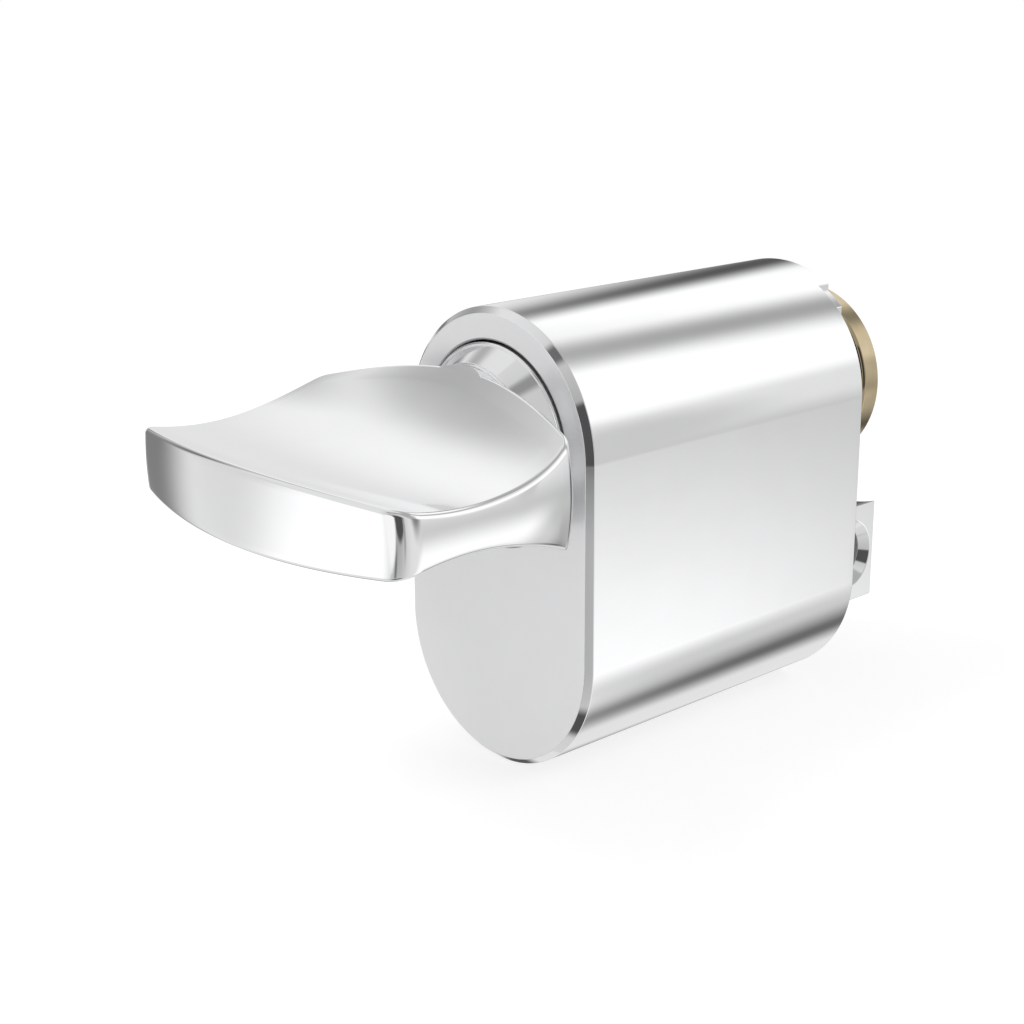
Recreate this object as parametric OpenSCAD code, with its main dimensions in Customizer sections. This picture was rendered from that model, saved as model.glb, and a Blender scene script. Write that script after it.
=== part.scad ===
// Thumb turn cylinder: an oval lock cylinder with a turn handle in front and a drive disc behind.
// The turn axis lies along Y, and Y = 0 is the front face of the oval body.
// X is to the right, Y runs back into the door and Z is up.

/* [Body] */
// Width of the oval body, which is also twice the radius of its round ends
body_w = 21; // [19:0.1:24]
// Distance between the centres of the upper and the lower round end
lobe_gap = 15.7; // [15:0.1:20]
// Length of the body from its front face to its rear face
body_len = 31.8; // [31:0.1:45]
// Chamfer round the front face
front_chamfer = 0.5; // [0.2:0.1:1]

/* [Rear land and key] */
// Height of the raised land on the rear face
land_h = 1.37; // [1:0.01:2]
// Radius of the land's round boss about the turn axis
land_r = 8.6; // [8.2:0.1:8.8]
// Radius of the land's upper tongue
tongue_r = 10.0; // [9.2:0.1:10.3]
// Width of the land's upper tongue
tongue_w = 13.8; // [12:0.1:14.5]
// Width of the key above the tongue, which reaches the body's outline
key_w = 10.8; // [6:0.1:11.5]

/* [Fixing lug] */
// Width of the lug
lug_w = 8.4; // [7:0.1:10]
// How far the lug stands out behind the body
lug_len = 11.15; // [10.5:0.05:14]
// Height of the lug's underside below the turn axis
lug_bottom = 21.4; // [21:0.1:23]
// Radius of the hollow in the lug's top, about the turn axis
lug_hollow_r = 13.06; // [12:0.01:13.2]
// Radius of the crosswise hole for the retaining pin
lug_hole_r = 2.55; // [2:0.05:2.8]
// Depth of the hole's countersink on each side, at 45 degrees
lug_sink = 0.8; // [0.3:0.1:0.9]
// Distance of the hole's axis from the lug's rear end
lug_hole_back = 3.75; // [3.6:0.05:4.5]

/* [Turn handle] */
// Reach of the handle in front of the body's face
turn_reach = 23.8; // [21:0.1:27]
// Where the handle's back comes nearest to the body's face
turn_back = 2.6; // [2.4:0.1:3.5]
// Radius of the front edge, seen from above
turn_front_r = 41.9; // [30:0.1:60]
// Radius of the rear edge, seen from above
turn_rear_r = 35.6; // [30:0.1:60]
// Greatest width of the handle
turn_w = 30.5; // [24:0.1:34]
// Radius of each side, seen from above
turn_side_r = 37.8; // [30:0.1:60]
// How round the sides are from top to bottom
turn_side_crown_r = 14; // [8:0.5:25]
// Distance of the widest place from the body's face
turn_widest = 13.5; // [12:0.1:15]
// Distance of the thinnest place from the body's face
turn_waist = 16.1; // [15:0.1:17]
// Least thickness of the handle
turn_thin = 2.84; // [2.4:0.02:3.4]
// Radius of the hollow in the top and in the underside
turn_dish_r = 23; // [21:0.5:30]

/* [Neck and collar] */
// Radius of the hub that joins the handle
hub_r = 6.45; // [6:0.05:6.6]
// Radius of the neck's front rim
neck_r = 6.6; // [6.6:0.05:7]
// Distance of the neck's front rim from the body's face
neck_len = 2.07; // [1.5:0.01:2.3]
// Radius of the neck's foot on the collar's lip
foot_r = 7.5; // [7.2:0.05:7.6]
// Radius of the collar that turns in the recess
collar_r = 7.8; // [7.7:0.05:7.85]
// Height of the collar's lip in front of the body's face
collar_lip = 0.1; // [0.05:0.05:0.3]
// Depth of the collar behind the body's face
collar_depth = 2.6; // [2.4:0.1:3]
// Radius of the recess in the body's face
recess_r = 8.1; // [8.05:0.05:8.4]

/* [Seal ring] */
// Radius of the rubber cord of the seal ring
seal_cord_r = 0.48; // [0.4:0.02:0.55]
// Distance of the seal ring from the body's face
seal_y = 1.45; // [1.3:0.05:1.6]

/* [Shaft and bushes] */
// Radius of the shaft
shaft_r = 6.0; // [5.9:0.05:6.05]
// Radius of the bores that hold the bushes
bush_r = 7.0; // [6.8:0.05:7.2]
// Radius of the relieved bore between the bushes
relief_r = 6.6; // [6.4:0.05:6.7]
// Thickness of the front bush's flange
flange_t = 1.0; // [0.8:0.1:1.4]
// Length of the front bush behind its flange
front_bush_len = 6.6; // [5:0.1:7]
// Length of the rear bush
rear_bush_len = 7.9; // [6:0.1:8.2]
// Width of the handle's square tenon
tenon_w = 7.0; // [6:0.1:7.2]
// Length of the square tenon behind the collar
tenon_len = 8.2; // [6:0.1:8.6]

/* [Wave washer] */
// Thickness of the wave washer's strip
wave_t = 0.25; // [0.2:0.05:0.3]
// Room for the wave washer between the collar and the front bush
wave_gap = 0.8; // [0.6:0.05:1]
// Number of waves
wave_count = 3; // [2:1:5]

/* [Draw screw] */
// Radius of the draw screw's thread
draw_r = 1.5; // [1.3:0.05:1.6]
// Radius of the draw screw's head
draw_head_r = 2.75; // [2.5:0.05:2.8]
// Length of the draw screw's head
draw_head_len = 3.0; // [2.4:0.1:3.4]
// Width across the flats of its hexagon socket
draw_hex_w = 2.5; // [2:0.1:3]
// Distance of the head's seat from the shaft's rear end
draw_seat_depth = 7.4; // [6.8:0.1:8]
// Thickness of the draw screw's spring washer
draw_washer_t = 0.8; // [0.6:0.1:1]

/* [Thrust washer and clip] */
// Thickness of the thrust washer
thrust_t = 0.5; // [0.4:0.05:0.6]
// Outer radius of the thrust washer
thrust_r = 7.7; // [7.4:0.05:7.8]
// Thickness of the retaining clip
clip_t = 1.0; // [0.8:0.05:1.1]
// Outer radius of the retaining clip
clip_r = 7.2; // [6.9:0.1:7.4]
// Radius of the clip's groove in the shaft
groove_r = 5.5; // [5.45:0.05:5.6]
// Width of the clip's opening
clip_gap = 8.6; // [8:0.1:9]

/* [Drive disc] */
// Radius of the drive disc
disc_r = 7.9; // [7.5:0.1:8.4]
// Thickness of the drive disc
disc_t = 2.1; // [1.8:0.1:2.6]
// Gap between the land and the drive disc
disc_gap = 2.3; // [2.2:0.05:2.8]
// Width of the drive slot across the disc's rear face
slot_w = 3.2; // [2.4:0.1:3.8]
// Depth of the drive slot
slot_depth = 1.0; // [0.6:0.1:1.2]
// Radius of the hole for the draw screw's key
key_hole_r = 1.5; // [1.4:0.05:1.6]
// Distance of the disc's screws from the turn axis
disc_screw_place = 4.2; // [4.15:0.05:4.25]
// Radius of the disc's screws
disc_screw_r = 1.0; // [0.8:0.05:1]
// Length of the disc's screws
disc_screw_len = 6; // [5:0.5:8]
// Radius of the disc's dowel
dowel_r = 0.75; // [0.6:0.05:0.8]
// Length of the disc's dowel
dowel_len = 4.5; // [3.5:0.5:6]

/* [Detents] */
// Radius of a detent ball
ball_r = 2.0; // [1.8:0.05:2.1]
// How far a ball rises into a pocket of the shaft
ball_travel = 0.5; // [0.3:0.05:0.6]
// Distance of the front ball from the body's face
front_ball_y = 14.6; // [14.2:0.1:15.2]
// Distance of the rear ball from the body's face
rear_ball_y = 21.2; // [20.6:0.1:21.6]
// Number of click positions in one turn
click_count = 4; // [2:2:6]
// Depth of the detent's set screw inside the body's underside
set_screw_inset = 1.15; // [0.8:0.05:1.5]
// Outer radius of a detent spring
spring_r = 1.75; // [1.6:0.05:1.8]
// Radius of the spring wire
wire_r = 0.2; // [0.16:0.01:0.22]
// Number of turns of a detent spring
spring_turns = 7; // [5:1:8]
// Radius of the detent's set screw
set_screw_r = 2.5; // [2.3:0.05:2.7]
// Length of the detent's set screw
set_screw_len = 6; // [5:0.1:6.2]
// Width across the flats of the set screw's hexagon socket
set_hex_w = 2.5; // [2:0.1:3]

/* [Clearances] */
// Radial clearance of a running fit
run_gap = 0.03; // [0.02:0.01:0.08]
// Radial clearance of a fixed fit
fixed_gap = 0.01; // [0.01:0.005:0.03]
// Clearance of a loose fit
loose_gap = 0.05; // [0.04:0.01:0.08]

/* [Hidden] */

$fn = 96;
// Extra length of a cutting shape past the face that it opens
cut = 0.5;

body_r = body_w / 2;
rear_y = body_len + land_h;
// Along the turn axis, from the front to the rear
wave_y = collar_depth;
flange_y = wave_y + wave_gap;
front_bush_y = flange_y + flange_t;
relief_y = front_bush_y + front_bush_len;
rear_bush_y = rear_y - rear_bush_len;
shaft_y = collar_depth + loose_gap;
disc_y = rear_y + disc_gap;
disc_back_y = disc_y + disc_t;
shaft_len = disc_y - shaft_y;
tenon_end_y = collar_depth + tenon_len;
socket_end_y = tenon_end_y + 4 * loose_gap;
thrust_y = rear_y + fixed_gap;
clip_y = thrust_y + thrust_t + loose_gap;
washer_y = disc_y - draw_seat_depth;
head_y = washer_y + draw_washer_t;
draw_len = head_y - collar_depth - draw_r;
// The lug
lug_end_y = body_len + lug_len;
lug_hole_y = lug_end_y - lug_hole_back;
lug_top = sqrt(pow(lug_hollow_r, 2) - pow(lug_w / 2, 2));
lug_hole_z = -(lug_top + lug_bottom) / 2;
// The detents, from the shaft down to the body's underside
ball_z = -(shaft_r + ball_r + loose_gap);
spring_top_z = ball_z - ball_r;
body_bottom_z = -(lobe_gap + body_r);
spring_z = body_bottom_z + set_screw_inset + set_screw_len;
chamber_r = ball_r + loose_gap;
pocket_r = ball_r + 2 * loose_gap;
// The seal ring's groove in the collar
seal_r = recess_r - seal_cord_r - loose_gap;
seal_groove_r = seal_r - seal_cord_r - fixed_gap;
seal_groove_w = 2 * seal_cord_r + 2 * loose_gap;
thumb_half_t = turn_thin / 2;

// Stands a shape that was drawn along Z on the turn axis, so that it runs back from y.
module along_y(y) {
    translate([0, y, 0]) rotate([90, 0, 0]) mirror([0, 0, 1]) children();
}

// A round bar along the turn axis, from y over a length.
module bar(y, len, r) {
    along_y(y) cylinder(r = r, h = len);
}

// A washer or a bush along the turn axis.
module ring(y, len, r_out, r_in) {
    difference() {
        bar(y, len, r_out);
        bar(y - cut, len + 2 * cut, r_in);
    }
}

// A hexagon socket along Z that opens upwards at z.
module hex_socket(z, depth, width) {
    translate([0, 0, z - depth]) cylinder(r = width / sqrt(3), h = depth + cut, $fn = 6);
}

// One round end of the body, with the front chamfer.
module body_lobe(z) {
    translate([0, 0, z]) along_y(0) rotate_extrude()
        polygon([[0, 0], [body_r - front_chamfer, 0], [body_r, front_chamfer],
            [body_r, body_len], [0, body_len]]);
}

// The flat-sided middle of the body, with the front chamfer.
module body_middle() {
    translate([0, 0, -lobe_gap]) linear_extrude(lobe_gap)
        polygon([[-body_r + front_chamfer, 0], [body_r - front_chamfer, 0],
            [body_r, front_chamfer], [body_r, body_len],
            [-body_r, body_len], [-body_r, front_chamfer]]);
}

// The upper part of a disc, between two upright sides.
module disc_top(r, width) {
    intersection() {
        circle(r);
        translate([-width / 2, 0]) square([width, r]);
    }
}

// The raised land, its tongue and the key on the rear face.
module rear_land() {
    along_y(body_len - cut) linear_extrude(land_h + cut) union() {
        circle(land_r);
        disc_top(tongue_r, tongue_w);
        disc_top(body_r, key_w);
    }
}

// The lug behind the body, hollowed above and drilled crosswise.
module fixing_lug() {
    difference() {
        translate([-lug_w / 2, body_len - cut, -lug_bottom])
            cube([lug_w, lug_len + cut, lug_bottom - lug_top + cut]);
        bar(body_len, lug_len + cut, lug_hollow_r);
        translate([0, lug_hole_y, lug_hole_z]) rotate([0, 90, 0]) {
            cylinder(r = lug_hole_r, h = lug_w + 2 * cut, center = true);
            for (side = [0, 1]) mirror([0, 0, side])
                translate([0, 0, lug_w / 2 - lug_sink])
                    cylinder(r1 = lug_hole_r, r2 = lug_hole_r + lug_sink + cut, h = lug_sink + cut);
        }
    }
}

// A detent's chamber, from the shaft's bore down through the body's underside.
module detent_chamber(y) {
    translate([0, y, body_bottom_z - cut])
        cylinder(r = set_screw_r, h = spring_z - body_bottom_z + cut);
    translate([0, y, spring_z - cut])
        cylinder(r = chamber_r, h = -relief_r / 2 - spring_z + cut);
}

module cylinder_body() {
    color("gainsboro") difference() {
        union() {
            body_lobe(0);
            body_middle();
            body_lobe(-lobe_gap);
            rear_land();
            fixing_lug();
        }
        bar(-cut, front_bush_y + cut, recess_r);
        bar(0, relief_y, bush_r);
        bar(0, rear_y, relief_r);
        bar(rear_bush_y, rear_bush_len + cut, bush_r);
        detent_chamber(front_ball_y);
        detent_chamber(rear_ball_y);
    }
}

module front_bush() {
    color("peru") difference() {
        union() {
            bar(flange_y, flange_t, recess_r - loose_gap);
            bar(flange_y, flange_t + front_bush_len, bush_r - fixed_gap);
        }
        bar(0, relief_y + cut, shaft_r + run_gap);
    }
}

module rear_bush() {
    color("peru") ring(rear_bush_y, rear_bush_len, bush_r - fixed_gap, shaft_r + run_gap);
}

// The hollow above the handle, or below it when mirrored.
module dish() {
    translate([0, -turn_waist, thumb_half_t + turn_dish_r]) rotate([0, 90, 0])
        cylinder(r = turn_dish_r, h = 2 * turn_w, center = true, $fn = 180);
}

// A barrel about an upright axis, whose outside is one side of the handle.
module side_barrel() {
    core_r = turn_side_r - turn_side_crown_r;
    // Share of the ring's inner part that the plain core fills
    core_share = 0.9;
    translate([turn_w / 2 - turn_side_r, -turn_widest, 0]) {
        rotate_extrude($fn = 180) translate([core_r, 0]) circle(turn_side_crown_r);
        cylinder(r = core_share * core_r, h = 2 * body_r, center = true);
    }
}

// The handle's outline from above, between its front and its rear edge.
module turn_outline() {
    intersection() {
        translate([0, -turn_reach + turn_front_r]) circle(turn_front_r, $fn = 180);
        translate([0, -turn_back - turn_rear_r]) circle(turn_rear_r, $fn = 180);
    }
}

module turn_handle() {
    difference() {
        union() {
            intersection() {
                translate([0, 0, -body_r]) linear_extrude(2 * body_r) turn_outline();
                side_barrel();
                mirror([1, 0, 0]) side_barrel();
            }
            bar(-turn_back - hub_r / 2, turn_back + hub_r / 2, hub_r);
        }
        dish();
        mirror([0, 0, 1]) dish();
    }
}

module thumb_turn() {
    color("silver") difference() {
        union() {
            turn_handle();
            along_y(0) rotate_extrude() polygon([[0, -neck_len], [neck_r, -neck_len],
                [foot_r, -collar_lip], [collar_r, -collar_lip], [collar_r, collar_depth],
                [0, collar_depth]]);
            translate([-tenon_w / 2, collar_depth - cut, -tenon_w / 2])
                cube([tenon_w, tenon_len + cut, tenon_w]);
        }
        ring(seal_y - seal_groove_w / 2, seal_groove_w, collar_r + cut, seal_groove_r);
        bar(collar_depth + loose_gap, tenon_len, draw_r);
    }
}

module collar_seal_ring() {
    color("black") along_y(seal_y) rotate_extrude() translate([seal_r, 0]) circle(seal_cord_r, $fn = 32);
}

// A flat strip ring that rises and falls along the turn axis.
module wave_washer() {
    steps = 72;
    r_in = shaft_r + 4 * loose_gap;
    r_out = collar_r - 2 * loose_gap;
    rise = (wave_gap - wave_t) / 2 - loose_gap;
    mid_y = wave_y + wave_gap / 2;
    section = [[r_in, -wave_t / 2], [r_out, -wave_t / 2], [r_out, wave_t / 2], [r_in, wave_t / 2]];
    points = [for (i = [0 : steps - 1], p = section) let (a = 360 * i / steps)
        [-p[0] * sin(a), mid_y + p[1] + rise * cos(wave_count * a), p[0] * cos(a)]];
    faces = [for (i = [0 : steps - 1], k = [0 : 3])
        let (a = 4 * i, b = 4 * ((i + 1) % steps), next = (k + 1) % 4)
        each [[a + k, b + k, b + next], [a + k, b + next, a + next]]];
    color("lightsteelblue") polyhedron(points, faces);
}

module turn_shaft() {
    color("goldenrod") difference() {
        bar(shaft_y, shaft_len, shaft_r);
        translate([-tenon_w / 2 - loose_gap, shaft_y - cut, -tenon_w / 2 - loose_gap])
            cube([tenon_w + 2 * loose_gap, socket_end_y - shaft_y + cut, tenon_w + 2 * loose_gap]);
        bar(shaft_y, shaft_len, draw_r + 3 * loose_gap);
        bar(washer_y, draw_seat_depth + cut, draw_head_r + loose_gap);
        ring(clip_y - loose_gap, clip_t + 2 * loose_gap, shaft_r + cut, groove_r);
        for (y = [front_ball_y, rear_ball_y], click = [0 : click_count - 1])
            rotate([0, 360 * click / click_count, 0])
                translate([0, y, ball_z + ball_travel]) sphere(pocket_r);
        for (side = [-1, 1]) translate([side * disc_screw_place, 0, 0])
            bar(disc_back_y - disc_screw_len - loose_gap, disc_screw_len, disc_screw_r + fixed_gap);
        translate([0, 0, disc_screw_place])
            bar(disc_back_y - slot_depth - dowel_len - loose_gap, dowel_len, dowel_r + fixed_gap);
    }
}

module draw_screw() {
    color("dimgray") difference() {
        union() {
            bar(head_y - draw_len, draw_len + cut, draw_r - fixed_gap);
            bar(head_y, draw_head_len, draw_head_r);
        }
        along_y(head_y) hex_socket(draw_head_len, draw_head_len / 2, draw_hex_w);
    }
}

module draw_screw_washer() {
    color("lightsteelblue") difference() {
        ring(washer_y + fixed_gap, draw_washer_t - 2 * fixed_gap, draw_head_r - loose_gap,
            draw_r + 2 * loose_gap);
        translate([-draw_washer_t / 4, washer_y - cut, 0])
            cube([draw_washer_t / 2, draw_washer_t + 2 * cut, 2 * draw_head_r]);
    }
}

module thrust_washer() {
    color("lightsteelblue") ring(thrust_y, thrust_t, thrust_r, shaft_r + 2 * loose_gap);
}

module retaining_clip() {
    color("dimgray") difference() {
        ring(clip_y, clip_t, clip_r, groove_r + fixed_gap);
        translate([-clip_gap / 2, clip_y - cut, -clip_r - cut])
            cube([clip_gap, clip_t + 2 * cut, clip_r + cut]);
    }
}

module drive_disc() {
    color("darkkhaki") difference() {
        bar(disc_y + fixed_gap, disc_t - fixed_gap, disc_r);
        translate([-slot_w / 2, disc_back_y - slot_depth, -disc_r - cut])
            cube([slot_w, slot_depth + cut, 2 * disc_r + 2 * cut]);
        bar(disc_y - cut, disc_t + 2 * cut, key_hole_r);
        for (side = [-1, 1]) translate([side * disc_screw_place, 0, 0]) {
            bar(disc_y - cut, disc_t + 2 * cut, disc_screw_r + loose_gap);
            along_y(disc_back_y - disc_screw_r) cylinder(r1 = disc_screw_r + loose_gap,
                r2 = 2 * disc_screw_r + loose_gap, h = disc_screw_r + fixed_gap);
        }
        translate([0, 0, disc_screw_place]) bar(disc_y - cut, disc_t + cut, dowel_r + fixed_gap);
    }
}

// A countersunk screw of the drive disc, with a cross slot in its head.
module disc_screw(side) {
    color("silver") translate([side * disc_screw_place, 0, 0]) difference() {
        union() {
            bar(disc_back_y - disc_screw_len, disc_screw_len - disc_screw_r, disc_screw_r);
            along_y(disc_back_y - disc_screw_r - fixed_gap)
                cylinder(r1 = disc_screw_r, r2 = 2 * disc_screw_r, h = disc_screw_r);
        }
        for (turn = [0, 90]) rotate([0, turn, 0])
            translate([-disc_screw_r, disc_back_y - disc_screw_r / 2, -disc_screw_r / 6])
                cube([2 * disc_screw_r, disc_screw_r, disc_screw_r / 3]);
    }
}

module disc_dowel() {
    color("lightgray") translate([0, 0, disc_screw_place])
        bar(disc_back_y - slot_depth - dowel_len, dowel_len, dowel_r);
}

module detent_ball(y) {
    color("lightgray") translate([0, y, ball_z]) sphere(ball_r);
}

// One point of a round spring, at height z on a turn angle a.
function coil_point(r, a, z) = [r * cos(a), r * sin(a), z];

// A round wire coil from z0 to z1 along Z, with flat closed turns at both ends.
function coil_path(r, z0, z1, turns, rings) =
    let (n = turns * rings, rise = (z1 - z0) / n)
    [for (i = [0 : n]) coil_point(r, 360 * i / rings, z0 + rise * i)];

module detent_spring(y) {
    rings = 8;
    sides = 6;
    coil_r = spring_r - wire_r;
    low = spring_z + wire_r + loose_gap;
    high = spring_top_z - wire_r - loose_gap;
    path = coil_path(coil_r, low, high, spring_turns, rings);
    last = len(path) - 1;
    slope = atan2((high - low) / spring_turns, 2 * PI * coil_r);
    points = [for (i = [0 : last], k = [0 : sides - 1])
        let (a = 360 * i / rings, b = 360 * k / sides)
        path[i] + wire_r * cos(b) * [cos(a), sin(a), 0]
            + wire_r * sin(b) * [sin(slope) * sin(a), -sin(slope) * cos(a), cos(slope)]];
    walls = [for (i = [0 : last - 1], k = [0 : sides - 1])
        let (a = sides * i + k, b = sides * i + (k + 1) % sides)
        each [[a, b, b + sides], [a, b + sides, a + sides]]];
    ends = [for (k = [1 : sides - 2])
        each [[0, k + 1, k], [sides * last, sides * last + k, sides * last + k + 1]]];
    echo(least_gap_between_turns = (high - low) / spring_turns * cos(slope) - 2 * wire_r);
    color("lightsteelblue") translate([0, y, 0]) polyhedron(points, concat(walls, ends));
}

module detent_screw(y) {
    color("dimgray") translate([0, y, 0]) difference() {
        translate([0, 0, spring_z - set_screw_len])
            cylinder(r = set_screw_r - fixed_gap, h = set_screw_len);
        mirror([0, 0, 1]) hex_socket(set_screw_len - spring_z, set_screw_len / 2, set_hex_w);
    }
}

cylinder_body();
front_bush();
rear_bush();
thumb_turn();
collar_seal_ring();
wave_washer();
turn_shaft();
draw_screw();
draw_screw_washer();
thrust_washer();
retaining_clip();
drive_disc();
disc_screw(-1);  // left_disc_screw
disc_screw(1);  // right_disc_screw
disc_dowel();
detent_ball(front_ball_y);  // front_detent_ball
detent_ball(rear_ball_y);  // rear_detent_ball
detent_spring(front_ball_y);  // front_detent_spring
detent_spring(rear_ball_y);  // rear_detent_spring
detent_screw(front_ball_y);  // front_detent_screw
detent_screw(rear_ball_y);  // rear_detent_screw
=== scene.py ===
# The thumb turn cylinder of the photograph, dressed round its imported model.
# Lengths are written in millimetres and turned into metres by MM. X is right, Y runs back, Z is up.
import math

import bmesh
import bpy
from mathutils import Matrix, Vector


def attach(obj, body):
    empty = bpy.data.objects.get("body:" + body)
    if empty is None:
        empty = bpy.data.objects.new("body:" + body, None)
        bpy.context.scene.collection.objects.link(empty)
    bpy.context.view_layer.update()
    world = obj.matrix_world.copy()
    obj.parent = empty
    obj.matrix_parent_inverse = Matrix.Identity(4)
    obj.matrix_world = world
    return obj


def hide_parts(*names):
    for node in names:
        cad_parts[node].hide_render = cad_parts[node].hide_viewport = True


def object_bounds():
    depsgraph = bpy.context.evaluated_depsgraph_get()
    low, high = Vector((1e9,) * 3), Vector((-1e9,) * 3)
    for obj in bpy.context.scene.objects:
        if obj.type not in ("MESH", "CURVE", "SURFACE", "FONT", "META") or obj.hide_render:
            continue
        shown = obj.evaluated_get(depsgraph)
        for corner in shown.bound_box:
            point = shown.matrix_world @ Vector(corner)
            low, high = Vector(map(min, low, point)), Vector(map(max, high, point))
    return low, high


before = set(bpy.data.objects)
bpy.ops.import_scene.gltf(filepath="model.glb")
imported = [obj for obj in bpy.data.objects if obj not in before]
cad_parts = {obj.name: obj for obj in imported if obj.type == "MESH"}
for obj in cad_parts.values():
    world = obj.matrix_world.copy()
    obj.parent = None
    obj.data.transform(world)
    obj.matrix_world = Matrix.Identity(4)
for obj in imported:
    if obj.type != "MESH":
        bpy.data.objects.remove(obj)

MM = 0.001
cad_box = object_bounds()


# Camera
# It stands at the photograph's angle, to the right of the turn and a little above it.
# Its place, turn and lens were fitted to the edges in the photograph.
CAMERA_PLACE = (99.14, -87.35, 34.90)
CAMERA_AZIMUTH = 48.02
CAMERA_ELEVATION = 16.98
CAMERA_ROLL = -0.36
CAMERA_LENS = 62.95
CAMERA_SENSOR = 36
CAMERA_NEAR = 10

camera_data = bpy.data.cameras.new("camera")
camera_data.lens = CAMERA_LENS
camera_data.sensor_width = CAMERA_SENSOR
camera_data.clip_start = CAMERA_NEAR * MM
camera = bpy.data.objects.new("camera", camera_data)
camera.matrix_world = (
    Matrix.Translation(Vector(CAMERA_PLACE) * MM)
    @ Matrix.Rotation(math.radians(CAMERA_AZIMUTH), 4, "Z")
    @ Matrix.Rotation(math.radians(90 - CAMERA_ELEVATION), 4, "X")
    @ Matrix.Rotation(math.radians(CAMERA_ROLL), 4, "Z")
)
bpy.context.scene.collection.objects.link(camera)
bpy.context.scene.camera = camera
bpy.context.scene.view_settings.view_transform = "Standard"


# Studio
# A white tent all round the object, seen in the metal, with brighter and darker panels in its wall.
# Two soft lamps outside the metal's view give the floor its shadow.
TENT_LIGHT = 0.6
TENT_WALL = 0.80
# A panel is its azimuth from +Y towards +X, elevation, half width, half height, softness and level.
# The angles are degrees, and a later panel lies over an earlier one.
# TENT_WALL and eighteen of the panels started as a program's fit to the photograph's greys, and the
# other fourteen were set one by one.
TENT_PANELS = (
    (-165, -20, 35, 15, 0.2, 1.1),
    (-125, 0, 20, 18, 0.3, 0.72),
    (-77, 41, 9, 10, 0.6, 0.50),
    (-71, 12, 5, 14, 0.5, 0.12),
    (-91, 2, 14, 34, 0.5, 0.22),
    (-107, 17, 9, 18, 0.6, 0.18),
    (-20, 36, 36, 13, 0.9, 1.1),
    (33, 27, 31, 16, 0.25, 1.1),
    (10, 36, 8, 26, 0.9, 0.40),
    (-40, 10, 5, 34, 0.9, 0.10),
    (10, -18, 50, 10, 0.6, 0.55),
    (-2, -17, 14, 9, 0.3, 0.10),
    (38, -37, 26, 20, 0.3, 1.1),
    (21, -21, 12, 8, 0.7, 0.55),
    (27, -33, 12, 10, 0.6, 0.65),
    (12, -41, 9, 14, 0.9, 0.15),
    (-46, -30, 5, 8, 0.6, 0.35),
    (-70, -50, 13, 11, 0.5, 0.10),
    (-55, -12, 26, 6, 0.3, 0.15),
    (82, 41, 18, 40, 0.2, 0.45),
    (76, 2, 14, 13, 0.6, 0.25),
    (46, -2, 4, 10, 0.5, 0.62),
    (145, 0, 26, 55, 0.9, 0.40),
    (135, 5, 18, 21, 0.1, 0.08),
    (151, -18, 4, 24, 0.6, 0.20),
    (120, -10, 3, 14, 0.5, 0.35),
    (169, 52, 7, 6, 0.5, 0.15),
    (147, -60, 16, 10, 0.4, 0.08),
    (165, -8, 17, 17, 0.2, 1.0),
    (25, 66, 40, 9, 0.4, 0.42),
    (118, 72, 9, 5, 0.6, 0.25),
    (145, 66, 8, 7, 0.6, 0.30),
)
# A panel's space is stretched this much along its facing, so that only the other two axes count.
PANEL_DEPTH = 1000
LAMP_SIZE = 160
LAMPS = (((-120, -160, 260), 0.38), ((220, 120, 200), 0.20))
WHITE = (1, 1, 1, 1)


def math_node(tree, operation, first, second):
    """A math node's output, whose inputs are sockets or numbers."""
    node = tree.nodes.new("ShaderNodeMath")
    node.operation = operation
    for socket, value in zip(node.inputs, (first, second)):
        if isinstance(value, (int, float)):
            socket.default_value = value
        else:
            tree.links.new(value, socket)
    return node.outputs[0]


def panel_mask(tree, direction, azimuth, elevation, width, height, softness):
    """Where the wall belongs to a panel: 1 inside it, 0 outside, with a soft edge."""
    facing = tree.nodes.new("ShaderNodeMapping")
    facing.vector_type = "TEXTURE"
    facing.inputs["Rotation"].default_value = (math.radians(elevation), 0, -math.radians(azimuth))
    facing.inputs["Scale"].default_value = (
        math.sin(math.radians(width)), PANEL_DEPTH, math.sin(math.radians(height)))
    tree.links.new(direction, facing.inputs["Vector"])
    away = tree.nodes.new("ShaderNodeVectorMath")
    away.operation = "LENGTH"
    tree.links.new(facing.outputs["Vector"], away.inputs[0])
    ramp = tree.nodes.new("ShaderNodeMapRange")
    ramp.interpolation_type = "SMOOTHSTEP"
    ramp.inputs["From Min"].default_value = 1 + softness
    ramp.inputs["From Max"].default_value = 1 - softness
    tree.links.new(away.outputs["Value"], ramp.inputs["Value"])
    sides = tree.nodes.new("ShaderNodeSeparateXYZ")
    tree.links.new(facing.outputs["Vector"], sides.inputs["Vector"])
    ahead = math_node(tree, "GREATER_THAN", sides.outputs["Y"], 0)
    return math_node(tree, "MULTIPLY", ramp.outputs["Result"], ahead)


def tent_wall(tree):
    """The brightness of the tent's wall in each direction."""
    direction = tree.nodes.new("ShaderNodeTexCoord").outputs["Generated"]
    level = TENT_WALL
    for *panel, wanted in TENT_PANELS:
        mix = tree.nodes.new("ShaderNodeMix")
        tree.links.new(panel_mask(tree, direction, *panel), mix.inputs["Factor"])
        if isinstance(level, float):
            mix.inputs["A"].default_value = level
        else:
            tree.links.new(level, mix.inputs["A"])
        mix.inputs["B"].default_value = wanted
        level = mix.outputs["Result"]
    return level


def lamp_power(level, distance):
    """The power with which an area lamp lights a white face this far away to a level."""
    return level * math.pi * math.pi * distance * distance


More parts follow.
